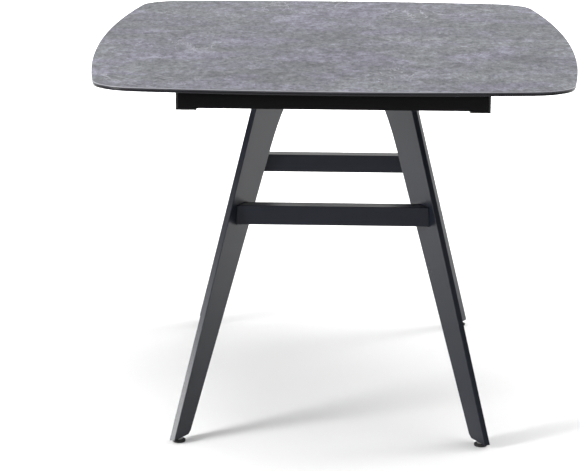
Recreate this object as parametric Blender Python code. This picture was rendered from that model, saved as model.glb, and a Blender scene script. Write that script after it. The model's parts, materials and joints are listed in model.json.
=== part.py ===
"""Extendable dining table: a barrel-shaped stone-look top, split across its middle, on four
diagonal plank legs. The two halves of the top part on runners, geared together by a pinion
between two racks, and a loose leaf is stored flat under them.

Metres, +Z up. The origin is on the floor under the middle of the top, +Y runs along the table
from the near end to the far end, and +X is across it.
"""

from math import atan2, cos, pi, radians, sin, sqrt, tau

import bmesh
import bpy
from mathutils import Vector

# ---------------------------------------------------------------- driving dimensions
GAP = 0.0003  # between pieces that touch

TABLE_HEIGHT = 0.760
TOP_LENGTH = 1.420
TOP_WIDTH = 1.014  # at mid-length, where the sides are widest
SIDE_BULGE = 0.055  # how far each long side bows out
END_BULGE = 0.042  # how far each end bows out
CORNER_RADIUS = 0.100
TILE_THICKNESS = 0.0040
GLASS_THICKNESS = 0.0040
GLASS_INSET = 0.0006  # the glass stays this far inside the tile's outline
SEAM = 0.0010  # between the closed halves

TRAVEL = 0.250  # each half slides out this far
LEAF_CLEARANCE = 0.0005  # round the leaf when it lies between the open halves

BEAM_HALF_WIDTH = 0.300
BEAM_FACE_Y = 0.680
BEAM_DEPTH = 0.040
BEAM_BOTTOM = 0.7200
TUBE_WALL = 0.003

RUNNER_WIDTH = 0.040
RUNNER_BOTTOM = 0.7145
RUNNER_TOP = 0.7405
OUTER_RUNNER_X = 0.282  # the near half's runners
INNER_RUNNER_X = 0.188  # the far half's runners
RUNNER_TAIL = 0.220  # how far a runner reaches past the middle
MID_BAR_Y = 0.291
MID_BAR_DEPTH = 0.040
MID_BAR_HALF_WIDTH = 0.400

RAIL_X = 0.235  # the fixed rails, between an outer and an inner runner
RAIL_HALF_LENGTH = 0.450
RAIL_WIDTH = 0.049
RAIL_BOTTOM = 0.7055
RAIL_TOP = 0.7400
RAIL_WEB = 0.004
RAIL_FLANGE = 0.003
SHOE_LENGTH = 0.380
SHOE_HEIGHT = 0.028
SHOE_BACK_SHIFT = 0.010  # towards the shoe's own tail, so that it stays in the rail when open

LEAF_STRIP_WIDTH = 0.020
LEAF_STRIP_TOP = 0.7420
LEAF_HALF_LENGTH = TRAVEL + SEAM / 2 - LEAF_CLEARANCE
LEAF_HALF_WIDTH = 0.500  # under the bowed sides of the closed top

CROSS_MEMBER_Y = 0.170
CROSS_MEMBER_DEPTH = 0.130
CROSS_MEMBER_BOTTOM = 0.680
CROSS_MEMBER_WALL = 0.004
FRAME_HALF_WIDTH = RAIL_X + RAIL_WIDTH / 2

LEG_FOOT = (0.3224, 0.5207)  # the outer edge's line at floor level
LEG_HEAD = (0.1546, 0.2237)  # the same line at LEG_HEAD_Z
LEG_HEAD_Z = 0.700
LEG_AZIMUTH = radians(63.5)  # of the plank's level direction, from the X axis
LEG_THICKNESS = 0.012
LEG_FOOT_WIDTH = 0.0625
LEG_HEAD_WIDTH = 0.1285
LEG_BOTTOM = 0.0085
LEG_TOP = 0.672
LEG_FLARE_START = 0.560
LEG_FLARE_RADIUS = 0.250
LEG_CHAMFER = (0.0055, 0.0060)
HEAD_PLATE = (0.170, 0.060, 0.0074)

CROSSBAR_FACE_Y = 0.313
CROSSBAR_SIZE = 0.040
CROSSBAR_BOTTOM = 0.4163

PAD_RADIUS = 0.0135
PAD_HEIGHT = 0.0055
STUD_RADIUS = 0.0035
STUD_FLANGE_RADIUS = 0.0075
STUD_FLANGE_HEIGHT = 0.0022
STUD_TOP = 0.030
STUD_CLEARANCE = 0.0004

GEAR_MODULE = 0.004
PINION_TEETH = 20
PINION_RADIUS = GEAR_MODULE * PINION_TEETH / 2
TOOTH_PITCH = pi * GEAR_MODULE
TOOTH_SHARE = 0.40  # of the pitch that a tooth fills at the pitch line, the rest being backlash
ADDENDUM = 0.8 * GEAR_MODULE
DEDENDUM = 1.1 * GEAR_MODULE
FLANK_ANGLE = radians(20)
PINION_BOTTOM = 0.7170
PINION_HEIGHT = 0.0080
PINION_BORE = 0.00509
PIN_RADIUS = 0.00500
RACK_BOTTOM = 0.7160
RACK_TOP = 0.7260
RACK_BACK = 0.016  # from the pitch line to the rack's back
RACK_FREE_END = 0.275
BRIDGE_HALF_DEPTH = 0.035
BRIDGE_BOTTOM = 0.6990

LOCK_PIVOT_Y = -0.415
LOCK_ARM_LENGTH = 0.075
LOCK_ARM_WIDTH = 0.016
LOCK_BOTTOM = 0.6990
LOCK_THICKNESS = 0.0050
LOCK_SCREW_RADIUS = 0.0030
LOCK_BORE = 0.00308
PEG_RADIUS = 0.0040
PEG_PLAY = 0.0010

# heights that follow
TILE_BOTTOM = TABLE_HEIGHT - TILE_THICKNESS
GLASS_TOP = TILE_BOTTOM - GAP
GLASS_BOTTOM = GLASS_TOP - GLASS_THICKNESS
FRAME_TOP = GLASS_BOTTOM - GAP

NEAR, FAR = -1, 1
LEFT, RIGHT = -1, 1
ENDS = {"near": NEAR, "far": FAR}
SIDES = {"left": LEFT, "right": RIGHT}


# ---------------------------------------------------------------- scene and materials
def clear_scene():
    for old in list(bpy.data.objects):
        bpy.data.objects.remove(old, do_unlink=True)


def material(name, colour, roughness, metallic=0.0):
    """One Principled material, made once for each name."""
    found = bpy.data.materials.get(name)
    if found:
        return found
    made = bpy.data.materials.new(name)
    made.use_nodes = True
    shader = made.node_tree.nodes["Principled BSDF"]
    shader.inputs["Base Color"].default_value = (*colour, 1.0)
    shader.inputs["Roughness"].default_value = roughness
    shader.inputs["Metallic"].default_value = metallic
    made.diffuse_color = (*colour, 1.0)
    return made


def stone():
    return material("stone_tile", (0.20, 0.20, 0.21), 0.45)


def backing_glass():
    return material("backing_glass", (0.03, 0.03, 0.035), 0.15)


def lacquer():
    return material("anthracite_lacquer", (0.06, 0.06, 0.065), 0.40, 0.3)


def black_steel():
    return material("black_steel", (0.015, 0.015, 0.016), 0.45, 0.3)


def aluminium():
    return material("rail_aluminium", (0.60, 0.60, 0.62), 0.30, 1.0)


def zinc():
    return material("zinc_steel", (0.55, 0.55, 0.53), 0.35, 1.0)


def nylon():
    return material("black_nylon", (0.02, 0.02, 0.02), 0.55)


def acetal():
    return material("white_acetal", (0.70, 0.70, 0.68), 0.45)


def rubber():
    return material("foot_rubber", (0.012, 0.012, 0.012), 0.80)


# ---------------------------------------------------------------- shapes
def add_object(name, mesh_maker, finish):
    """A new object from a bmesh, with its normals facing out."""
    bmesh.ops.recalc_face_normals(mesh_maker, faces=mesh_maker.faces)
    mesh = bpy.data.meshes.new(name)
    mesh_maker.to_mesh(mesh)
    mesh_maker.free()
    mesh.materials.append(finish)
    made = bpy.data.objects.new(name, mesh)
    bpy.context.scene.collection.objects.link(made)
    return made


def prism(name, outline, along, finish):
    """A closed outline of points, extruded by the vector along."""
    work = bmesh.new()
    face = work.faces.new([work.verts.new(Vector(point)) for point in outline])
    raised = bmesh.ops.extrude_face_region(work, geom=[face])["geom"]
    moved = [item for item in raised if isinstance(item, bmesh.types.BMVert)]
    bmesh.ops.translate(work, verts=moved, vec=Vector(along))
    return add_object(name, work, finish)


def box(name, low, high, finish):
    """A box between two opposite corners."""
    low, high = Vector(low), Vector(high)
    outline = [
        (low.x, low.y, low.z),
        (high.x, low.y, low.z),
        (high.x, high.y, low.z),
        (low.x, high.y, low.z),
    ]
    return prism(name, outline, (0, 0, high.z - low.z), finish)


def tube(name, low, high, axis, wall, finish):
    """A rectangular tube between two corners, open at both ends along axis 0 (X) or 1 (Y)."""
    low, high = Vector(low), Vector(high)
    across = 1 - axis
    work = bmesh.new()

    def ring(place, inset):
        corners = []
        for side, level in ((0, 0), (1, 0), (1, 1), (0, 1)):
            point = Vector((0, 0, 0))
            point[axis] = place
            point[across] = high[across] - inset if side else low[across] + inset
            point.z = high.z - inset if level else low.z + inset
            corners.append(work.verts.new(point))
        return corners

    start, end = low[axis], high[axis]
    rings = [ring(start, 0), ring(end, 0), ring(end, wall), ring(start, wall)]
    for one, two in zip(rings, rings[1:] + rings[:1]):
        for i in range(4):
            j = (i + 1) % 4
            work.faces.new((one[i], one[j], two[j], two[i]))
    return add_object(name, work, finish)


def turned(name, profile, place, finish, steps=32):
    """A solid of revolution about a vertical axis, from (radius, height) points."""
    work = bmesh.new()
    points = [work.verts.new((radius, 0, height)) for radius, height in profile]
    edges = [work.edges.new(pair) for pair in zip(points, points[1:])]
    bmesh.ops.spin(
        work,
        geom=points + edges,
        cent=(0, 0, 0),
        axis=(0, 0, 1),
        angle=tau,
        steps=steps,
        use_merge=True,
        use_duplicate=False,
    )
    bmesh.ops.remove_doubles(work, verts=work.verts, dist=1e-6)
    bmesh.ops.translate(work, verts=work.verts, vec=Vector(place))
    made = add_object(name, work, finish)
    made.data.shade_smooth()
    made.data.set_sharp_from_angle(angle=radians(35))
    return made


def arc(centre, radius, start, end, steps):
    """Points along an arc, both ends included."""
    angles = (start + (end - start) * i / steps for i in range(steps + 1))
    return [(centre[0] + radius * cos(a), centre[1] + radius * sin(a)) for a in angles]


# ---------------------------------------------------------------- the top
def quarter_outline(inset):
    """The top's outline from the middle of the +X side to the middle of the +Y end."""
    half_width, half_length = TOP_WIDTH / 2 - inset, TOP_LENGTH / 2 - inset
    side_radius = (half_length**2 + SIDE_BULGE**2) / (2 * SIDE_BULGE)
    end_radius = (half_width**2 + END_BULGE**2) / (2 * END_BULGE)
    side_centre = Vector((half_width - side_radius, 0))
    end_centre = Vector((0, half_length - end_radius))
    # the corner's circle touches both arcs from inside
    to_side, to_end = side_radius - CORNER_RADIUS, end_radius - CORNER_RADIUS
    between = end_centre - side_centre
    along = (to_side**2 - to_end**2 + between.length**2) / (2 * between.length)
    aside = sqrt(to_side**2 - along**2)
    unit = between.normalized()
    corner = side_centre + unit * along + Vector((-unit.y, unit.x)) * aside
    at_side = atan2(corner.y - side_centre.y, corner.x - side_centre.x)
    at_end = atan2(corner.y - end_centre.y, corner.x - end_centre.x)
    return (
        arc(side_centre, side_radius, 0, at_side, 7)
        + arc(corner, CORNER_RADIUS, at_side, at_end, 8)[1:]
        + arc(end_centre, end_radius, at_end, pi / 2, 8)[1:]
    )


def half_outline(end, inset):
    """One half of the top: from the seam on its +X side round to the seam on its -X side."""
    quarter = quarter_outline(inset)
    right = [(quarter[0][0], SEAM / 2)] + quarter[1:]
    left = [(-x, y) for x, y in reversed(right[:-1])]
    return [(x, end * y) for x, y in right + left]


def make_top():
    for word, end in ENDS.items():
        tile = [(x, y, TILE_BOTTOM) for x, y in half_outline(end, 0)]
        prism(f"{word}_tile", tile, (0, 0, TILE_THICKNESS), stone())
        glass = [(x, y, GLASS_BOTTOM) for x, y in half_outline(end, GLASS_INSET)]
        prism(f"{word}_glass", glass, (0, 0, GLASS_THICKNESS), backing_glass())


def make_leaf():
    """The loose leaf, stored flat on the fixed rails under the closed halves."""
    glass_bottom = LEAF_STRIP_TOP + GAP
    tile_bottom = glass_bottom + GLASS_THICKNESS + GAP
    glass_half = LEAF_HALF_WIDTH - GLASS_INSET
    box(
        "leaf_glass",
        (-glass_half, -LEAF_HALF_LENGTH, glass_bottom),
        (glass_half, LEAF_HALF_LENGTH, glass_bottom + GLASS_THICKNESS),
        backing_glass(),
    )
    box(
        "leaf_tile",
        (-LEAF_HALF_WIDTH, -LEAF_HALF_LENGTH, tile_bottom),
        (LEAF_HALF_WIDTH, LEAF_HALF_LENGTH, tile_bottom + TILE_THICKNESS),
        stone(),
    )


# ---------------------------------------------------------------- the sliding sub-frames
def end_span(end, start, stop):
    """Low and high Y of a stretch given by its distances towards one end."""
    return tuple(sorted((end * start, end * stop)))


def make_sub_frame(word, end, runner_x):
    """One half's end beam, mid bar, runners and slide shoes."""
    beam_back = BEAM_FACE_Y - BEAM_DEPTH
    low_y, high_y = end_span(end, beam_back, BEAM_FACE_Y)
    tube(
        f"{word}_end_beam",
        (-BEAM_HALF_WIDTH, low_y, BEAM_BOTTOM),
        (BEAM_HALF_WIDTH, high_y, FRAME_TOP),
        0,
        TUBE_WALL,
        black_steel(),
    )
    low_y, high_y = end_span(end, MID_BAR_Y - MID_BAR_DEPTH / 2, MID_BAR_Y + MID_BAR_DEPTH / 2)
    box(
        f"{word}_mid_bar",
        (-MID_BAR_HALF_WIDTH, low_y, RUNNER_TOP + GAP),
        (MID_BAR_HALF_WIDTH, high_y, FRAME_TOP),
        black_steel(),
    )
    rail_side = -1 if runner_x > RAIL_X else 1
    for side_word, side in SIDES.items():
        low_y, high_y = end_span(end, -RUNNER_TAIL, beam_back - GAP)
        edges = sorted(side * (runner_x + k * RUNNER_WIDTH / 2) for k in (-1, 1))
        tube(
            f"{word}_{side_word}_runner",
            (edges[0], low_y, RUNNER_BOTTOM),
            (edges[1], high_y, RUNNER_TOP),
            1,
            TUBE_WALL,
            black_steel(),
        )
        # the shoe fills the rail's channel from the web to the runner's face
        inner = RAIL_X - rail_side * (RAIL_WEB / 2 + GAP)
        outer = runner_x + rail_side * (RUNNER_WIDTH / 2 + GAP)
        reach = sorted((side * inner, side * outer))
        middle = -end * SHOE_BACK_SHIFT
        centre_z = (RAIL_BOTTOM + RAIL_TOP) / 2
        box(
            f"{word}_{side_word}_shoe",
            (reach[0], middle - SHOE_LENGTH / 2, centre_z - SHOE_HEIGHT / 2),
            (reach[1], middle + SHOE_LENGTH / 2, centre_z + SHOE_HEIGHT / 2),
            nylon(),
        )


# ---------------------------------------------------------------- the synchronising gear
def rack_outline(end):
    """A toothed bar in plan, its teeth facing the pinion at the origin."""
    half_tooth = TOOTH_SHARE * TOOTH_PITCH / 2
    tip = half_tooth - ADDENDUM * sin(FLANK_ANGLE)
    root = half_tooth + DEDENDUM * sin(FLANK_ANGLE)
    pitch_x, back_x = PINION_RADIUS, PINION_RADIUS + RACK_BACK
    first = -2
    last = int((RACK_FREE_END - root) / TOOTH_PITCH)
    start = -(MID_BAR_Y + MID_BAR_DEPTH / 2)
    points = [(back_x, start), (pitch_x + DEDENDUM, start)]
    for number in range(first, last + 1):
        centre = number * TOOTH_PITCH
        points += [
            (pitch_x + DEDENDUM, centre - root),
            (pitch_x - ADDENDUM, centre - tip),
            (pitch_x - ADDENDUM, centre + tip),
            (pitch_x + DEDENDUM, centre + root),
        ]
    points += [(pitch_x + DEDENDUM, RACK_FREE_END), (back_x, RACK_FREE_END)]
    # the far rack is the near one turned half a turn about the pinion
    return [(-end * x, -end * y, RACK_BOTTOM) for x, y in points]


def make_racks():
    for word, end in ENDS.items():
        prism(f"{word}_rack", rack_outline(end), (0, 0, RACK_TOP - RACK_BOTTOM), acetal())
        edges = sorted(-end * (PINION_RADIUS + x) for x in (DEDENDUM, RACK_BACK))
        ends = end_span(end, MID_BAR_Y - MID_BAR_DEPTH / 2, MID_BAR_Y + MID_BAR_DEPTH / 2)
        box(
            f"{word}_rack_bracket",
            (edges[0], ends[0], RACK_TOP + GAP),
            (edges[1], ends[1], RUNNER_TOP),
            zinc(),
        )


def make_pinion():
    """Spur gear with a tooth space facing each rack tooth at rest."""
    half_tooth = TOOTH_SHARE * TOOTH_PITCH / 2 / PINION_RADIUS
    tip_radius, root_radius = PINION_RADIUS + ADDENDUM, PINION_RADIUS - DEDENDUM
    tip = half_tooth - ADDENDUM * sin(FLANK_ANGLE) / PINION_RADIUS
    root = half_tooth + DEDENDUM * sin(FLANK_ANGLE) / PINION_RADIUS
    tooth = ((root_radius, -root), (tip_radius, -tip), (tip_radius, tip), (root_radius, root))
    outline = []
    for number in range(PINION_TEETH):
        centre = (number + 0.5) * tau / PINION_TEETH
        for radius, angle in tooth:
            outline.append((radius * cos(centre + angle), radius * sin(centre + angle), PINION_BOTTOM))
    gear = prism("sync_pinion", outline, (0, 0, PINION_HEIGHT), acetal())
    drill(gear, (0, 0, PINION_BOTTOM), PINION_BORE, PINION_HEIGHT)

    seat = PINION_BOTTOM - GAP
    neck = PINION_BOTTOM + PINION_HEIGHT + GAP
    head = neck + 0.004
    profile = [
        (0, RAIL_BOTTOM),
        (0.012, RAIL_BOTTOM),
        (0.012, seat),
        (PIN_RADIUS, seat),
        (PIN_RADIUS, neck),
        (0.008, neck),
        (0.008, head),
        (0, head),
    ]
    turned("pinion_post", profile, (0, 0, 0), zinc())


def drill(target, bottom, radius, depth, steps=32):
    """A round hole down to bottom, cut with a hidden cutter that runs past the top face."""
    margin = 0.001
    work = bmesh.new()
    bmesh.ops.create_cone(
        work, cap_ends=True, segments=steps, radius1=radius, radius2=radius, depth=depth + 2 * margin
    )
    bmesh.ops.translate(work, verts=work.verts, vec=Vector(bottom) + Vector((0, 0, depth / 2)))
    cutter = add_object(f"cut_{target.name}", work, zinc())
    cutter.hide_render = True
    cutter.display_type = "WIRE"
    cut = target.modifiers.new("bore", "BOOLEAN")
    cut.operation = "DIFFERENCE"
    cut.solver = "EXACT"
    cut.object = cutter


# ---------------------------------------------------------------- the fixed frame
def make_rails():
    """Two double-channel rails, with a strip on each for the stored leaf."""
    half, web = RAIL_WIDTH / 2, RAIL_WEB / 2
    floor, ceiling = RAIL_BOTTOM + RAIL_FLANGE, RAIL_TOP - RAIL_FLANGE
    section = [
        (-half, RAIL_BOTTOM),
        (half, RAIL_BOTTOM),
        (half, floor),
        (web, floor),
        (web, ceiling),
        (half, ceiling),
        (half, RAIL_TOP),
        (-half, RAIL_TOP),
        (-half, ceiling),
        (-web, ceiling),
        (-web, floor),
        (-half, floor),
    ]
    for word, side in SIDES.items():
        outline = [(side * RAIL_X + x, -RAIL_HALF_LENGTH, z) for x, z in section]
        prism(f"{word}_rail", outline, (0, 2 * RAIL_HALF_LENGTH, 0), aluminium())
        centre = side * RAIL_X
        box(
            f"{word}_leaf_strip",
            (centre - LEAF_STRIP_WIDTH / 2, -LEAF_HALF_LENGTH, RAIL_TOP + GAP),
            (centre + LEAF_STRIP_WIDTH / 2, LEAF_HALF_LENGTH, LEAF_STRIP_TOP),
            nylon(),
        )


def make_cross_members():
    for word, end in ENDS.items():
        low_y, high_y = end_span(
            end, CROSS_MEMBER_Y - CROSS_MEMBER_DEPTH / 2, CROSS_MEMBER_Y + CROSS_MEMBER_DEPTH / 2
        )
        tube(
            f"{word}_cross_member",
            (-FRAME_HALF_WIDTH, low_y, CROSS_MEMBER_BOTTOM),
            (FRAME_HALF_WIDTH, high_y, RAIL_BOTTOM - GAP),
            0,
            CROSS_MEMBER_WALL,
            black_steel(),
        )
    box(
        "gear_bridge",
        (-FRAME_HALF_WIDTH, -BRIDGE_HALF_DEPTH, BRIDGE_BOTTOM),
        (FRAME_HALF_WIDTH, BRIDGE_HALF_DEPTH, RAIL_BOTTOM - GAP),
        zinc(),
    )


# ---------------------------------------------------------------- legs
class Leg:
    """The lines of one plank leg, for the corner of the table at (side, end)."""

    def __init__(self, side, end):
        self.side, self.end = side, end
        self.inward = Vector((-side * cos(LEG_AZIMUTH), -end * sin(LEG_AZIMUTH), 0))
        # level, square to the plank, towards the table's end: the broad face that shows there
        self.across = Vector((-side * sin(LEG_AZIMUTH), end * cos(LEG_AZIMUTH), 0))

    def outer(self, z):
        """The outer edge at a height."""
        share = z / LEG_HEAD_Z
        x = LEG_FOOT[0] + (LEG_HEAD[0] - LEG_FOOT[0]) * share
        y = LEG_FOOT[1] + (LEG_HEAD[1] - LEG_FOOT[1]) * share
        return Vector((self.side * x, self.end * y, z))

    def width(self, z):
        """The plank's level width at a height."""
        plain = LEG_FOOT_WIDTH + (LEG_HEAD_WIDTH - LEG_FOOT_WIDTH) * z / LEG_HEAD_Z
        rise = max(0.0, z - LEG_FLARE_START)
        return plain + LEG_FLARE_RADIUS - sqrt(LEG_FLARE_RADIUS**2 - rise**2)

    def at(self, share, z, aside=0.0):
        """A point a share of the way across the plank at a height, off its middle plane."""
        return self.outer(z) + self.inward * (share * self.width(z)) + self.across * aside

    def outline(self):
        cut_in, cut_up = LEG_CHAMFER
        steps = 6
        flare = [LEG_FLARE_START + (LEG_TOP - LEG_FLARE_START) * i / steps for i in range(steps + 1)]
        corner = self.at(1, LEG_BOTTOM) - self.inward * cut_in
        points = [self.at(0, LEG_BOTTOM), self.at(0, LEG_TOP)]
        points += [self.at(1, z) for z in reversed(flare)]
        points += [self.at(1, LEG_BOTTOM + cut_up), corner]
        half = self.across * (LEG_THICKNESS / 2)
        return [point - half for point in points]

    def foot(self):
        """The middle of the plank's bottom, on the floor."""
        middle = self.at(0.45, LEG_BOTTOM)
        return Vector((middle.x, middle.y, 0))

    def inner_plane(self):
        """A point on the broad face towards the table's middle line, and its normal."""
        slope = self.outer(LEG_TOP) - self.outer(0)
        normal = self.inward.cross(slope).normalized()
        if normal.x * self.side > 0:
            normal = -normal
        return self.at(0, 0) + self.across * (LEG_THICKNESS / 2), normal


LEGS = {
    f"{end_word}_{side_word}": Leg(side, end)
    for end_word, end in ENDS.items()
    for side_word, side in SIDES.items()
}


def make_legs():
    bore = STUD_RADIUS + STUD_CLEARANCE
    for word, leg in LEGS.items():
        plank = prism(f"{word}_leg", leg.outline(), leg.across * LEG_THICKNESS, lacquer())
        foot = leg.foot()
        depth = STUD_TOP + 0.002 - LEG_BOTTOM
        drill(plank, (foot.x, foot.y, LEG_BOTTOM - 0.001), bore, depth, 16)

        length, width, height = HEAD_PLATE
        middle = leg.at(0.5, LEG_TOP)
        corners = [
            middle + leg.inward * (a * length / 2) + leg.across * (b * width / 2)
            for a, b in ((-1, -1), (1, -1), (1, 1), (-1, 1))
        ]
        outline = [(point.x, point.y, LEG_TOP + GAP) for point in corners]
        prism(f"{word}_head_plate", outline, (0, 0, height), black_steel())


def make_crossbars():
    """Square tubes between the broad faces of a pair of legs, their ends cut to those faces."""
    for word, end in ENDS.items():
        low_y, high_y = end_span(end, CROSSBAR_FACE_Y - CROSSBAR_SIZE, CROSSBAR_FACE_Y)
        bar = tube(
            f"{word}_crossbar",
            (-LEG_FOOT[0], low_y, CROSSBAR_BOTTOM),
            (LEG_FOOT[0], high_y, CROSSBAR_BOTTOM + CROSSBAR_SIZE),
            0,
            TUBE_WALL,
            lacquer(),
        )
        work = bmesh.new()
        work.from_mesh(bar.data)
        for side_word in SIDES:
            point, normal = LEGS[f"{word}_{side_word}"].inner_plane()
            cut_end(work, point + normal * GAP, -normal)
        bmesh.ops.recalc_face_normals(work, faces=work.faces)
        work.to_mesh(bar.data)
        work.free()


def cut_end(work, point, outwards):
    """Cut off what lies beyond a plane, and close the tube's wall there with four faces."""
    parts = work.verts[:] + work.edges[:] + work.faces[:]
    bmesh.ops.bisect_plane(work, geom=parts, plane_co=point, plane_no=outwards, clear_outer=True)
    rim = [edge for edge in work.edges if edge.is_boundary]
    bmesh.ops.bridge_loops(work, edges=rim)


def make_feet():
    for word, leg in LEGS.items():
        foot = leg.foot()
        chamfer = 0.001
        profile = [
            (0, 0),
            (PAD_RADIUS - chamfer, 0),
            (PAD_RADIUS, chamfer),
            (PAD_RADIUS, PAD_HEIGHT),
            (0, PAD_HEIGHT),
        ]
        turned(f"{word}_foot_pad", profile, foot, rubber(), 24)
        seat = PAD_HEIGHT + GAP
        shoulder = seat + STUD_FLANGE_HEIGHT
        profile = [
            (0, seat),
            (STUD_FLANGE_RADIUS, seat),
            (STUD_FLANGE_RADIUS, shoulder),
            (STUD_RADIUS, shoulder),
            (STUD_RADIUS, STUD_TOP),
            (0, STUD_TOP),
        ]
        turned(f"{word}_foot_stud", profile, foot, zinc(), 16)


# ---------------------------------------------------------------- locks
def make_locks():
    """Two levers that swing out in front of a peg on the near half and hold it shut."""
    for word, side in SIDES.items():
        pivot = Vector((side * RAIL_X, LOCK_PIVOT_Y, LOCK_BOTTOM))
        half = LOCK_ARM_WIDTH / 2
        round_end = arc((0, 0), half, 0, pi, 10)
        outline = [(x, y) for x, y in round_end]
        outline += [(-half, -LOCK_ARM_LENGTH + half), (-half / 2, -LOCK_ARM_LENGTH)]
        outline += [(half / 2, -LOCK_ARM_LENGTH), (half, -LOCK_ARM_LENGTH + half)]
        lever = prism(
            f"{word}_lock_lever",
            [(pivot.x + x, pivot.y + y, pivot.z) for x, y in outline],
            (0, 0, LOCK_THICKNESS),
            zinc(),
        )
        drill(lever, pivot, LOCK_BORE, LOCK_THICKNESS)
        head = LOCK_BOTTOM - GAP
        profile = [
            (0, head - 0.004),
            (0.0065, head - 0.004),
            (0.0065, head),
            (LOCK_SCREW_RADIUS, head),
            (LOCK_SCREW_RADIUS, RAIL_BOTTOM - GAP),
            (0, RAIL_BOTTOM - GAP),
        ]
        turned(f"{word}_lock_screw", profile, (pivot.x, pivot.y, 0), zinc())
        peg_y = LOCK_PIVOT_Y + half + PEG_PLAY + PEG_RADIUS
        profile = [
            (0, LOCK_BOTTOM),
            (PEG_RADIUS, LOCK_BOTTOM),
            (PEG_RADIUS, RUNNER_BOTTOM - GAP),
            (0, RUNNER_BOTTOM - GAP),
        ]
        turned(f"{word}_lock_peg", profile, (side * OUTER_RUNNER_X, peg_y, 0), zinc(), 16)


def main():
    clear_scene()
    make_top()
    make_leaf()
    make_sub_frame("near", NEAR, OUTER_RUNNER_X)
    make_sub_frame("far", FAR, INNER_RUNNER_X)
    make_racks()
    make_pinion()
    make_rails()
    make_cross_members()
    make_legs()
    make_crossbars()
    make_feet()
    make_locks()


main()
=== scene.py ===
import json
from math import cos, pi, radians, sin

import bpy
from mathutils import Matrix, Vector


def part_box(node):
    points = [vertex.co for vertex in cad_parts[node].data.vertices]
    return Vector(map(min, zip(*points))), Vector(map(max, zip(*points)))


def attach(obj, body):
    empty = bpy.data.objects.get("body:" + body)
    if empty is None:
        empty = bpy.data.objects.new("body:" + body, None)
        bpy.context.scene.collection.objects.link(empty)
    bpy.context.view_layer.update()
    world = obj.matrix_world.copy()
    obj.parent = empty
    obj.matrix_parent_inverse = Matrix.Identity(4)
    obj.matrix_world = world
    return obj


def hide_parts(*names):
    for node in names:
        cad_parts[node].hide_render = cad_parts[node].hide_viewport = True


# ------------------------------------------------------------------ the frame
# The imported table: every node is in metres, with +Y along the table and its feet on z = 0. The
# near end lies towards -Y and the left side towards -X.
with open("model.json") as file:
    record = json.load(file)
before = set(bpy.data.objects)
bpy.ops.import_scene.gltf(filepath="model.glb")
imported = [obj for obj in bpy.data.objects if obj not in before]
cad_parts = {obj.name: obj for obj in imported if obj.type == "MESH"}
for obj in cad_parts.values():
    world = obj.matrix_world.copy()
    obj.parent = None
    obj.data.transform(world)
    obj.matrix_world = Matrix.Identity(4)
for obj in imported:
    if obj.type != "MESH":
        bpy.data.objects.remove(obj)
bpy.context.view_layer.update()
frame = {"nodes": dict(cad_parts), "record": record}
home = {node: body for body, nodes in frame["record"]["behaviour"]["bodies"].items() for node in nodes}
ends = {"near": -1, "far": 1}
sides = {"left": -1, "right": 1}
corners = {f"{end}_{side}": (sides[side], ends[end]) for end in ends for side in sides}


# ------------------------------------------------------------------ camera
# Eye height, well back from the near end, with a long lens. It looks along the table and down on
# it, turned a little to the left.
eye = Vector((0.0204, -5.2854, 1.4848))
turn_left, look_down, lean = 0.0218, 0.2159, 0.0080
focal_in_widths = 4.224138
lens = bpy.data.cameras.new("lens")
lens.sensor_width = 36
lens.lens = lens.sensor_width * focal_in_widths
lens.clip_end = 60
camera = bpy.data.objects.new("camera", lens)
bpy.context.collection.objects.link(camera)
aim = Matrix.Rotation(turn_left, 4, "Z") @ Matrix.Rotation(pi / 2 - look_down, 4, "X")
camera.matrix_world = Matrix.Translation(eye) @ aim @ Matrix.Rotation(lean, 4, "Z")
bpy.context.scene.camera = camera


# ------------------------------------------------------------------ studio
# A wide white floor under a soft ceiling of light. A large panel lights the floor beyond the far
# end, one at the right lights that side, and a narrow one at the left front aims low at the near
# legs. The air is dimmer behind the camera, so faces that look that way stay dark.
def deselect():
    if bpy.context.mode != "OBJECT":
        bpy.ops.object.mode_set(mode="OBJECT")
    bpy.ops.object.select_all(action="DESELECT")


def new_material(name, colour, roughness, metallic=0.0):
    """A new material and its shader, with the colour, roughness and metallic values set."""
    made = bpy.data.materials.new(name)
    made.use_nodes = True
    shader = made.node_tree.nodes["Principled BSDF"]
    shader.inputs["Base Color"].default_value = (*colour, 1)
    shader.inputs["Roughness"].default_value = roughness
    shader.inputs["Metallic"].default_value = metallic
    return made, shader


def panel_light(name, place, size, watts, aim=(0, 0, 0.4), spread=180):
    data = bpy.data.lights.new(name, "AREA")
    data.shape = "RECTANGLE"
    data.size, data.size_y = size
    data.energy = watts
    data.spread = radians(spread)
    lamp = bpy.data.objects.new(name, data)
    bpy.context.collection.objects.link(lamp)
    lamp.location = place
    lamp.rotation_euler = (Vector(aim) - lamp.location).to_track_quat("-Z", "Y").to_euler()


deselect()
bpy.ops.mesh.primitive_plane_add(size=40, location=(0, 0, 0))
floor = bpy.context.object
floor.name = "studio_floor"
floor_white, _ = new_material("studio_floor_white", (0.86, 0.86, 0.86), 0.8)
floor.data.materials.append(floor_white)

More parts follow.
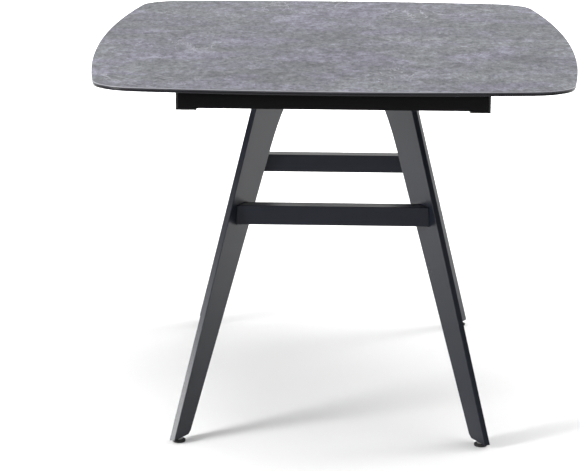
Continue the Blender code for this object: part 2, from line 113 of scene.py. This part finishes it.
panel_light("ceiling_panel", (1.0, 0.6, 5.6), (7.6, 7.6), 395, aim=(1.0, 0.6, 0))
panel_light("key_panel", (-2.1, -1.55, 0.98), (0.8, 0.6), 7, aim=(-0.3, -0.45, 0.12), spread=52)
panel_light("right_panel", (2.6, 1.3, 1.7), (1.2, 1.2), 28, aim=(0.1, 0.3, 0.7))
panel_light("sweep_panel", (0, 6.2, 3.4), (12.0, 7.0), 700, aim=(0, 6.2, 0), spread=105)
world = bpy.data.worlds.new("studio_air")
world.use_nodes = True
air = world.node_tree
heading = air.nodes.new("ShaderNodeTexCoord")
split = air.nodes.new("ShaderNodeSeparateXYZ")
fade = air.nodes.new("ShaderNodeMapRange")
fade.inputs["From Min"].default_value = -0.5
fade.inputs["From Max"].default_value = 0.6
fade.inputs["To Min"].default_value = 0.28
fade.inputs["To Max"].default_value = 1.0
air.links.new(heading.outputs["Generated"], split.inputs["Vector"])
air.links.new(split.outputs["Y"], fade.inputs["Value"])
air.links.new(fade.outputs["Result"], air.nodes["Background"].inputs["Strength"])
air.nodes["Background"].inputs["Color"].default_value = (1, 1, 1, 1)
bpy.context.scene.world = world
bpy.context.scene.view_settings.view_transform = "Standard"


# ------------------------------------------------------------------ top tiles
# Two halves of a thin porcelain tile, printed as grey stone with cloudy streaks across the
# table and a few pale veins. Its edges are ground, with a small polished arris that is painted
# a pale grey as a highlight.
tile_arris = 0.0013


def add_node(material, kind, **settings):
    """A shader node with its attributes and, by name, its unlinked input values set."""
    node = material.node_tree.nodes.new(kind)
    for name, value in settings.items():
        if hasattr(node, name):
            setattr(node, name, value)
        else:
            node.inputs[name.replace("_", " ")].default_value = value
    return node


def link(material, source, target):
    material.node_tree.links.new(source, target)


def place_pattern(material, scale):
    """Object coordinates, stretched by a scale along each axis."""
    where = add_node(material, "ShaderNodeTexCoord")
    stretch = add_node(material, "ShaderNodeMapping")
    stretch.inputs["Scale"].default_value = scale
    link(material, where.outputs["Object"], stretch.inputs["Vector"])
    return stretch.outputs["Vector"]


def noise(material, scale, size, detail, roughness=0.6, distortion=0.0):
    texture = add_node(material, "ShaderNodeTexNoise", Detail=detail, Roughness=roughness)
    texture.inputs["Scale"].default_value = size
    texture.inputs["Distortion"].default_value = distortion
    link(material, place_pattern(material, scale), texture.inputs["Vector"])
    return texture.outputs["Fac"]


def ramp(material, value, stops):
    """A colour ramp from (position, grey or colour) stops."""
    node = add_node(material, "ShaderNodeValToRGB")
    while len(node.color_ramp.elements) < len(stops):
        node.color_ramp.elements.new(0.5)
    for element, (position, colour) in zip(node.color_ramp.elements, stops):
        element.position = position
        element.color = (*colour, 1) if isinstance(colour, tuple) else (colour, colour, colour, 1)
    link(material, value, node.inputs["Fac"])
    return node.outputs["Color"]


def mix(material, mode, share, first, second):
    """Mix two colours; share, first and second are sockets or values."""
    node = add_node(material, "ShaderNodeMix", data_type="RGBA", blend_type=mode)
    share_input, first_colour, second_colour, colour_output = 0, 6, 7, 2
    sockets = [node.inputs[index] for index in (share_input, first_colour, second_colour)]
    for socket, value in zip(sockets, (share, first, second)):
        if isinstance(value, bpy.types.NodeSocket):
            link(material, value, socket)
        else:
            socket.default_value = value
    return node.outputs[colour_output]


def bump(material, shader, height, strength, distance):
    node = add_node(material, "ShaderNodeBump", Strength=strength, Distance=distance)
    link(material, height, node.inputs["Height"])
    link(material, node.outputs["Normal"], shader.inputs["Normal"])


def stone_print():
    made, shader = new_material("stone_print", (0.14, 0.14, 0.16), 0.62)
    shader.inputs["Specular IOR Level"].default_value = 0.12
    clouds = noise(made, (1.0, 1.3, 1.0), 3.4, 3, 0.5, 0.8)
    tint = noise(made, (2.6, 3.4, 1.0), 2.0, 4, 0.6, 0.6)
    patches = noise(made, (19.0, 12.0, 14.0), 1.0, 5, 0.70, 0.8)
    fibres = noise(made, (100.0, 44.0, 60.0), 1.0, 4, 0.76, 0.4)
    grain = noise(made, (300.0, 260.0, 300.0), 1.0, 3, 0.6)
    body = ramp(made, tint, [(0.40, (0.124, 0.130, 0.140)), (0.60, (0.140, 0.138, 0.171))])
    cloud_tone = ramp(made, clouds, [(0.30, 0.84), (0.70, 1.14)])
    patch_tone = ramp(made, patches, [(0.32, 0.64), (0.50, 1.00), (0.68, 1.38)])
    fibre_tone = ramp(made, fibres, [(0.32, 0.50), (0.68, 1.52)])
    grain_tone = ramp(made, grain, [(0.30, 0.80), (0.70, 1.20)])
    colour = mix(made, "MULTIPLY", 1.0, body, cloud_tone)
    for tone in (patch_tone, fibre_tone, grain_tone):
        colour = mix(made, "MULTIPLY", 1.0, colour, tone)
    # veins run where a warped noise crosses its middle value, and only in a few places
    crossing = noise(made, (3.4, 1.6, 2.0), 1.3, 5, 0.60, 1.2)
    vein = ramp(made, crossing, [(0.493, 0.0), (0.499, 1.0), (0.501, 1.0), (0.507, 0.0)])
    places = ramp(made, noise(made, (1.9, 1.7, 1.0), 1.6, 2, 0.5), [(0.50, 0.0), (0.62, 0.75)])
    where = mix(made, "MULTIPLY", 1.0, vein, places)
    colour = mix(made, "MIX", where, colour, (0.32, 0.32, 0.36, 1))
    link(made, colour, shader.inputs["Base Color"])
    gloss = ramp(made, patches, [(0.3, 0.56), (0.7, 0.68)])
    link(made, gloss, shader.inputs["Roughness"])
    relief = mix(made, "MIX", 0.35, patches, grain)
    bump(made, shader, relief, 0.12, 0.0006)
    return made


def cut_edge(name, colour, roughness):
    """A cut edge with a fine speck: the dark fired body, or a pale painted highlight."""
    made, shader = new_material(name, colour, roughness)
    shader.inputs["Specular IOR Level"].default_value = 0.35
    dark = tuple(0.85 * channel for channel in colour)
    light = tuple(1.15 * channel for channel in colour)
    speck = noise(made, (900.0, 900.0, 900.0), 1.0, 2)
    link(made, ramp(made, speck, [(0.35, dark), (0.70, light)]), shader.inputs["Base Color"])
    return made


def smooth_rounds(piece):
    """Smooth shading over the rounded edges, while the broad faces stay flat."""
    bpy.ops.object.shade_smooth_by_angle(angle=radians(40))
    keep_flat = piece.modifiers.new("keep_flat", "WEIGHTED_NORMAL")
    keep_flat.weight = 100
    keep_flat.keep_sharp = True
    bpy.ops.object.modifier_apply(modifier=keep_flat.name)


def own_copy(source, name):
    """A copy with a mesh of its own, selected and active."""
    deselect()
    piece = source.copy()
    piece.data = source.data.copy()
    piece.name = name
    bpy.context.collection.objects.link(piece)
    bpy.context.view_layer.objects.active = piece
    piece.select_set(True)
    return piece


def clean_copy(node, name, width, steps=2, angle=30):
    """A copy of a CAD node whose triangles are merged to whole faces, with its edges rounded."""
    merge_distance, flat_within = 0.00002, radians(0.6)
    piece = own_copy(frame["nodes"][node], name)
    bpy.ops.mesh.customdata_custom_splitnormals_clear()
    bpy.ops.object.mode_set(mode="EDIT")
    bpy.ops.mesh.select_all(action="SELECT")
    bpy.ops.mesh.remove_doubles(threshold=merge_distance)
    bpy.ops.mesh.dissolve_limited(angle_limit=flat_within)
    bpy.ops.object.mode_set(mode="OBJECT")
    round_over = piece.modifiers.new("round_over", "BEVEL")
    round_over.width = width
    round_over.segments = steps
    round_over.limit_method = "ANGLE"
    round_over.angle_limit = radians(angle)
    bpy.ops.object.modifier_apply(modifier=round_over.name)
    smooth_rounds(piece)
    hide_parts(node)
    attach(piece, home[node])
    return piece


def only_finish(piece, *materials):
    piece.data.materials.clear()
    for material in materials:
        piece.data.materials.append(material)


def paint_edges(piece):
    """The print is on the face, the ground body on the edges and, on the polished arris between,
    a pale grey as a painted highlight.

    The painted highlight is only round the outside: at the straight seam the print runs over it.
    """
    level, leaning_up = 0.97, 0.2
    on_print, on_ground, on_painted_highlight = 0, 1, 2
    for face in piece.data.polygons:
        tilt, at_seam = face.normal.z, abs(face.center.y) < 2 * tile_arris
        if tilt > level or (at_seam and tilt > leaning_up):
            face.material_index = on_print
        else:
            face.material_index = on_painted_highlight if tilt > leaning_up else on_ground


stone = stone_print()
ground = cut_edge("ground_edge", (0.030, 0.030, 0.036), 0.38)
# the arris colour, far paler than the ground body and the print, is a painted highlight
painted_arris_highlight = cut_edge("polished_arris_painted_highlight", (0.27, 0.27, 0.30), 0.34)
for node in ("near_tile", "far_tile", "leaf_tile"):
    tile = clean_copy(node, f"{node}_stone", tile_arris, 2, 45)
    only_finish(tile, stone, ground, painted_arris_highlight)
    paint_edges(tile)


# ------------------------------------------------------------------ glass under the tiles
# A sheet of toughened glass with a polished edge under each tile, bonded to it and painted black
# on its lower face. A half's sheet lies on its end beam and mid bar, the leaf's on nylon strips.
def painted_glass():
    made, shader = new_material("painted_glass", (0.012, 0.012, 0.015), 0.14)
    shader.inputs["Specular IOR Level"].default_value = 0.35
    coat = noise(made, (14.0, 14.0, 14.0), 1.0, 3)
    tint = ramp(made, coat, [(0.3, (0.009, 0.009, 0.012)), (0.7, (0.014, 0.014, 0.018))])
    link(made, tint, shader.inputs["Base Color"])
    return made


glass = painted_glass()
for node in ("near_glass", "far_glass", "leaf_glass"):
    sheet = clean_copy(node, f"{node}_sheet", 0.0007, 2, 45)
    only_finish(sheet, glass)


# ------------------------------------------------------------------ end beams
# Black powder-coated steel tube across each end, glued up to the glass, with a plastic cap
# pressed into each open end.
def powder_coat(name, colour, roughness, specular, grain=520.0, strength=0.08):
    """A sprayed and baked coat: nearly one colour, with a fine orange-peel surface."""
    made, shader = new_material(name, colour, roughness)
    shader.inputs["Specular IOR Level"].default_value = specular
    peel = noise(made, (grain, grain, grain), 1.0, 3, 0.55)
    cloud = noise(made, (5.0, 5.0, 5.0), 1.0, 3, 0.5)
    dark = tuple(0.80 * channel for channel in colour)
    light = tuple(1.20 * channel for channel in colour)
    link(made, ramp(made, cloud, [(0.15, dark), (0.85, light)]), shader.inputs["Base Color"])
    gloss = ramp(made, cloud, [(0.15, roughness - 0.07), (0.85, roughness + 0.08)])
    link(made, gloss, shader.inputs["Roughness"])
    bump(made, shader, peel, strength, 0.0004)
    return made


def moulded(name, colour, roughness):
    """Injection-moulded plastic with a fine spark-eroded texture."""
    made, shader = new_material(name, colour, roughness)
    texture = noise(made, (1300.0, 1300.0, 1300.0), 1.0, 2, 0.5)
    tone = tuple(1.25 * channel for channel in colour)
    link(made, ramp(made, texture, [(0.3, colour), (0.7, tone)]), shader.inputs["Base Color"])
    bump(made, shader, texture, 0.15, 0.0003)
    return made


def box_piece(name, low, high, width=0.0006, steps=2):
    """A block between two corners with its edges rounded, its place in its mesh."""
    deselect()
    low, high = Vector(low), Vector(high)
    bpy.ops.mesh.primitive_cube_add(size=1, location=(low + high) / 2, scale=high - low)
    piece = bpy.context.object
    piece.name = name
    bpy.ops.object.transform_apply(location=True, rotation=True, scale=True)
    bpy.ops.object.mode_set(mode="EDIT")
    bpy.ops.mesh.select_all(action="SELECT")
    bpy.ops.mesh.bevel(offset=width, segments=steps, affect="EDGES")
    bpy.ops.object.mode_set(mode="OBJECT")
    smooth_rounds(piece)
    return piece


def pick_faces(piece, rule):
    """In edit mode, select the faces that a rule on centre and normal picks."""
    bpy.ops.object.mode_set(mode="OBJECT")
    for group in (piece.data.vertices, piece.data.edges):
        for item in group:
            item.select = False
    for face in piece.data.polygons:
        face.select = rule(face.center, face.normal)
    bpy.ops.object.mode_set(mode="EDIT")
    bpy.ops.mesh.select_mode(type="FACE")


def end_plug(name, low, high, outward, finish, body, rim=0.0030):
    """A pressed-in cap over a tube's end, its outer face dished inside a narrow rim.

    It is left selected and active.
    """
    dish_slope, dish_depth = 0.0006, 0.0005
    plug = box_piece(name, low, high, 0.0007)
    pick_faces(plug, lambda centre, normal: normal.dot(outward) > 0.99)
    bpy.ops.mesh.inset(thickness=rim, depth=0)
    bpy.ops.mesh.inset(thickness=dish_slope, depth=-dish_depth)
    bpy.ops.object.mode_set(mode="OBJECT")
    smooth_rounds(plug)
    only_finish(plug, finish)
    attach(plug, body)


def trim_end(piece, point, outward):
    """Cut away what lies beyond a plane: a tube's last millimetres, or all but the end of a bar."""
    deselect()
    bpy.context.view_layer.objects.active = piece
    piece.select_set(True)
    bpy.ops.object.mode_set(mode="EDIT")
    bpy.ops.mesh.select_all(action="SELECT")
    bpy.ops.mesh.bisect(plane_co=point, plane_no=outward, clear_outer=True)
    bpy.ops.object.mode_set(mode="OBJECT")


black_coat = powder_coat("black_coat", (0.0020, 0.0021, 0.0025), 0.52, 0.10)
black_cap = moulded("black_cap", (0.0040, 0.0040, 0.0045), 0.38)
beam_round = 0.0032
cap_depth, cap_gap = 0.0042, 0.0005
tongue_length, tongue_thickness = 0.040, 0.0028
for end in ends:
    beam = clean_copy(f"{end}_end_beam", f"{end}_end_beam_coated", beam_round, 4)
    low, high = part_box(f"{end}_end_beam")
    for side, sign in sides.items():
        outward = Vector((sign, 0, 0))
        inner = high.x - cap_depth
        trim_end(beam, outward * (inner - cap_gap), outward)
        tongue_bottom = low.z - cap_gap - tongue_thickness
        x_low, x_high = sorted((sign * (high.x - tongue_length), sign * high.x))
        tongue = box_piece(
            "cap_tongue",
            (x_low, low.y, tongue_bottom),
            (x_high, high.y, low.z - cap_gap),
        )
        only_finish(tongue, black_cap)
        x_low, x_high = sorted((sign * inner, sign * high.x))
        end_plug(
            f"{end}_{side}_beam_cap",
            (x_low, low.y, tongue_bottom),
            (x_high, high.y, high.z),
            outward,
            black_cap,
            f"{end}_half",
        )
        # the cap is still the active piece and takes the tongue in
        tongue.select_set(True)
        bpy.ops.object.join()
    only_finish(beam, black_coat)


# ------------------------------------------------------------------ runners and shoes
# Four coated tubes carry the halves, each with a plastic plug in its inner end. A nylon shoe
# screwed to each runs in the fixed rail.
nylon = moulded("nylon", (0.016, 0.016, 0.017), 0.50)
plug_gap, plug_out, plug_inset = 0.0002, 0.0014, 0.0003
for end, way in ends.items():
    for side in sides:
        runner = clean_copy(f"{end}_{side}_runner", f"{end}_{side}_runner_coated", 0.0020, 3)
        only_finish(runner, black_coat)
        shoe = clean_copy(f"{end}_{side}_shoe", f"{end}_{side}_shoe_moulded", 0.0015, 2)
        only_finish(shoe, nylon)
        low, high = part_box(f"{end}_{side}_runner")
        tail = high.y if way < 0 else low.y
        y_low, y_high = sorted((tail - way * plug_gap, tail - way * plug_out))
        end_plug(
            f"{end}_{side}_runner_plug",
            (low.x + plug_inset, y_low, low.z + plug_inset),
            (high.x - plug_inset, y_high, high.z - plug_inset),
            Vector((0, -way, 0)),
            black_cap,
            f"{end}_half",
        )


# ------------------------------------------------------------------ mid bars
# A flat coated tube, plugged at both ends, ties each pair of runners together just beyond the
# stored leaf, and carries the glass.
for end in ends:
    bar = clean_copy(f"{end}_mid_bar", f"{end}_mid_bar_coated", 0.0014, 2)
    only_finish(bar, black_coat)
    low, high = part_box(f"{end}_mid_bar")
    for side, sign in sides.items():
        x_low, x_high = sorted((sign * (high.x + plug_gap), sign * (high.x + plug_out)))
        end_plug(
            f"{end}_{side}_mid_bar_plug",
            (x_low, low.y + plug_inset, low.z + plug_inset),
            (x_high, high.y - plug_inset, high.z - plug_inset),
            Vector((sign, 0, 0)),
            black_cap,
            f"{end}_half",
            rim=0.0016,
        )


# ------------------------------------------------------------------ fixed rails
# Two rails of extruded aluminium, satin anodised, with the fine lines of the die along them. They
# lie on the cross members, and the leaf's nylon strips lie on them.
def anodised():
    made, shader = new_material("anodised", (0.56, 0.57, 0.58), 0.34, 1.0)
    lines = noise(made, (1600.0, 3.0, 1600.0), 1.0, 2, 0.5)
    tint = ramp(made, lines, [(0.3, (0.50, 0.51, 0.52)), (0.7, (0.60, 0.61, 0.62))])
    link(made, tint, shader.inputs["Base Color"])
    bump(made, shader, lines, 0.05, 0.0002)
    return made


rail_metal = anodised()
for side in sides:
    rail = clean_copy(f"{side}_rail", f"{side}_rail_extruded", 0.0004)
    only_finish(rail, rail_metal)
    strip = clean_copy(f"{side}_leaf_strip", f"{side}_leaf_strip_moulded", 0.0005)
    only_finish(strip, nylon)


# ------------------------------------------------------------------ cross members and head plates
# A flat coated tube over each pair of legs, plugged at its ends. The legs' head plates are
# bolted up to it, each with four button-head bolts, and one more holds each runner to its mid bar.
member_plug_inset = 0.0004
for end in ends:
    member = clean_copy(f"{end}_cross_member", f"{end}_cross_member_coated", 0.0025, 3)
    only_finish(member, black_coat)
    low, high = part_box(f"{end}_cross_member")
    for side, sign in sides.items():
        x_low, x_high = sorted((sign * (high.x + plug_gap), sign * (high.x + plug_out)))
        end_plug(
            f"{end}_{side}_cross_member_plug",
            (x_low, low.y + member_plug_inset, low.z + member_plug_inset),
            (x_high, high.y - member_plug_inset, high.z - member_plug_inset),
            Vector((sign, 0, 0)),
            black_cap,
            "fixed_frame",
            rim=0.0040,
        )


def oxide(name, colour, roughness):
    """Blackened steel with slightly uneven gloss from its oil."""
    made, shader = new_material(name, colour, roughness, 0.8)
    film = noise(made, (240.0, 240.0, 240.0), 1.0, 4, 0.6)
    gloss = ramp(made, film, [(0.3, roughness - 0.08), (0.7, roughness + 0.10)])
    link(made, gloss, shader.inputs["Roughness"])
    dark = tuple(0.8 * channel for channel in colour)
    light = tuple(1.3 * channel for channel in colour)
    link(made, ramp(made, film, [(0.3, dark), (0.7, light)]), shader.inputs["Base Color"])
    return made


def model_bolt(name, radius, height):
    """A button head hanging down from the origin, with a hexagon socket cut into it."""
    socket_share, dome_share = 0.46, 0.55
    deselect()
    bpy.ops.mesh.primitive_cylinder_add(
        vertices=6, radius=radius * socket_share, depth=height, location=(0, 0, -height)
    )
    key = bpy.context.object
    deselect()
    bpy.ops.mesh.primitive_cylinder_add(
        vertices=24, radius=radius, depth=height, location=(0, 0, -height / 2)
    )
    head = bpy.context.object
    head.name = name
    bpy.ops.object.transform_apply(location=True, rotation=True, scale=True)
    pick_faces(head, lambda centre, normal: normal.z < -0.99)
    bpy.ops.mesh.bevel(offset=height * dome_share, segments=3, affect="EDGES")
    bpy.ops.object.mode_set(mode="OBJECT")
    socket = head.modifiers.new("socket", "BOOLEAN")
    socket.object = key
    bpy.ops.object.modifier_apply(modifier=socket.name)
    bpy.data.objects.remove(key)
    bpy.ops.object.shade_smooth_by_angle(angle=radians(35))
    return head


def put_bolts(master, name, places, body, finish):
    """Copies of a bolt at each place under a face; the place goes into each copy's own mesh."""
    for number, place in enumerate(places, 1):
        bolt = own_copy(master, f"{name}_{number}")
        bolt.data.transform(Matrix.Translation(place))
        only_finish(bolt, finish)
        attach(bolt, body)


# a leg's broad faces run at this angle to the table's width
plank_azimuth = radians(63.5)
plate_bolt_along, plate_bolt_across = 0.050, 0.020
black_oxide = oxide("black_oxide", (0.030, 0.030, 0.033), 0.36)
frame_bolt = model_bolt("frame_bolt", radius=0.0068, height=0.0044)
for corner, (side_way, end_way) in corners.items():
    plate = clean_copy(f"{corner}_head_plate", f"{corner}_head_plate_coated", 0.0014)
    only_finish(plate, black_coat)
    low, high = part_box(f"{corner}_head_plate")
    middle = Vector(((low.x + high.x) / 2, (low.y + high.y) / 2, low.z))
    along = Vector((side_way * cos(plank_azimuth), end_way * sin(plank_azimuth), 0))
    across = Vector((-along.y, along.x, 0))
    places = [
        middle + along * a * plate_bolt_along + across * b * plate_bolt_across
        for a in (-1, 1)
        for b in (-1, 1)
    ]
    put_bolts(frame_bolt, f"{corner}_plate_bolt", places, "fixed_frame", black_oxide)
for end in ends:
    low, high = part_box(f"{end}_mid_bar")
    for side in sides:
        run_low, run_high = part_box(f"{end}_{side}_runner")
        places = [((run_low.x + run_high.x) / 2, (low.y + high.y) / 2, run_low.z)]
        name = f"{end}_{side}_mid_bar_bolt"
        put_bolts(frame_bolt, name, places, f"{end}_half", black_oxide)
bpy.data.objects.remove(frame_bolt)


# ------------------------------------------------------------------ legs
# Tapered planks of steel, lacquered in a satin anthracite, leaning out from the middle. The head
# plate on top of each is bolted to its cross member.
lacquer = powder_coat("anthracite_lacquer", (0.0092, 0.0112, 0.0175), 0.31, 0.21, 700.0, 0.05)
for corner in corners:
    leg = clean_copy(f"{corner}_leg", f"{corner}_leg_lacquered", 0.0010)
    only_finish(leg, lacquer)


# ------------------------------------------------------------------ crossbars
# Square tube between the broad faces of a pair of legs, welded on and lacquered with them. The
# weld is a narrow bead round each end.
bead_width, bead_rise, bead_round = 0.0026, 0.0009, 0.9
for end, way in ends.items():
    bar = clean_copy(f"{end}_crossbar", f"{end}_crossbar_lacquered", 0.0012, 3)
    only_finish(bar, lacquer)
    low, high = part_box(f"{end}_crossbar")
    for side, sign in sides.items():
        outward = Vector((sign * sin(plank_azimuth), way * -cos(plank_azimuth), 0))
        corner_point = Vector((sign * high.x, low.y if way < 0 else high.y, low.z))
        bead = own_copy(bar, f"{end}_{side}_crossbar_weld")
        trim_end(bead, corner_point - outward * bead_width, -outward)
        bpy.ops.object.mode_set(mode="EDIT")
        bpy.ops.mesh.select_all(action="SELECT")
        bpy.ops.transform.shrink_fatten(value=bead_rise)
        bpy.ops.object.mode_set(mode="OBJECT")
        swell = bead.modifiers.new("swell", "BEVEL")
        swell.width = bead_rise * bead_round
        swell.segments = 3
        swell.limit_method = "ANGLE"
        bpy.ops.object.modifier_apply(modifier=swell.name)
        bpy.ops.object.shade_smooth_by_angle(angle=radians(50))
        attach(bead, "fixed_frame")


# ------------------------------------------------------------------ feet
# A round rubber-faced glide under each leg, on a zinc-plated stud that goes up into the leg's
# lower end.
def plated():
    made, shader = new_material("zinc_plate", (0.52, 0.52, 0.50), 0.32, 1.0)
    bloom = noise(made, (160.0, 160.0, 160.0), 1.0, 4, 0.6)
    tint = ramp(made, bloom, [(0.3, (0.44, 0.44, 0.42)), (0.7, (0.58, 0.58, 0.56))])
    link(made, tint, shader.inputs["Base Color"])
    link(made, ramp(made, bloom, [(0.3, 0.26), (0.7, 0.42)]), shader.inputs["Roughness"])
    return made


rubber = moulded("glide_rubber", (0.010, 0.010, 0.010), 0.75)
zinc = plated()
for corner in corners:
    pad = clean_copy(f"{corner}_foot_pad", f"{corner}_foot_pad_rubber", 0.0004)
    only_finish(pad, rubber)
    stud = clean_copy(f"{corner}_foot_stud", f"{corner}_foot_stud_plated", 0.0003)
    only_finish(stud, zinc)


# ------------------------------------------------------------------ synchronising gear
# White acetal racks and a pinion in the middle make the two halves move together. Their brackets,
# post and bridge plate are zinc-plated, held with small pan screws.
acetal = moulded("acetal_white", (0.66, 0.66, 0.63), 0.42)
for node in ("near_rack", "far_rack", "sync_pinion"):
    gear = clean_copy(node, f"{node}_acetal", 0.0003, 1)
    only_finish(gear, acetal)
for node in ("near_rack_bracket", "far_rack_bracket", "pinion_post", "gear_bridge"):
    plated_piece = clean_copy(node, f"{node}_plated", 0.0006)
    only_finish(plated_piece, zinc)

bridge_screw_y, rack_screw_y = 0.022, 0.011
pan_screw = model_bolt("pan_screw", radius=0.0042, height=0.0028)
low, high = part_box("gear_bridge")
rail_low, rail_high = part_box("right_rail")
rail_x = (rail_low.x + rail_high.x) / 2
places = [(way * rail_x, along * bridge_screw_y, low.z) for way in (-1, 1) for along in (-1, 1)]
put_bolts(pan_screw, "bridge_screw", places, "fixed_frame", zinc)
for end in ends:
    low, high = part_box(f"{end}_rack_bracket")
    rack_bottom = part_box(f"{end}_rack")[0].z
    middle_x, middle_y = (low.x + high.x) / 2, (low.y + high.y) / 2
    places = [(middle_x, middle_y + along * rack_screw_y, rack_bottom) for along in (-1, 1)]
    put_bolts(pan_screw, f"{end}_rack_screw", places, f"{end}_half", zinc)
bpy.data.objects.remove(pan_screw)


# ------------------------------------------------------------------ locks
# A pressed lever under each rail, a shoulder screw through it, and a peg on the near half. A
# dipped vinyl grip covers the lever's free end.
vinyl = moulded("grip_vinyl", (0.010, 0.010, 0.011), 0.45)
grip_length, grip_wall = 0.034, 0.0010
for side in sides:
    low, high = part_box(f"{side}_lock_lever")
    grip = box_piece(
        f"{side}_lock_grip",
        (low.x - grip_wall, low.y - grip_wall, low.z - grip_wall),
        (high.x + grip_wall, low.y + grip_length, high.z + grip_wall),
        width=0.0028,
        steps=4,
    )
    only_finish(grip, vinyl)
    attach(grip, f"{side}_lock")
    for part in ("lock_lever", "lock_screw", "lock_peg"):
        lock = clean_copy(f"{side}_{part}", f"{side}_{part}_plated", 0.0004)
        only_finish(lock, zinc)
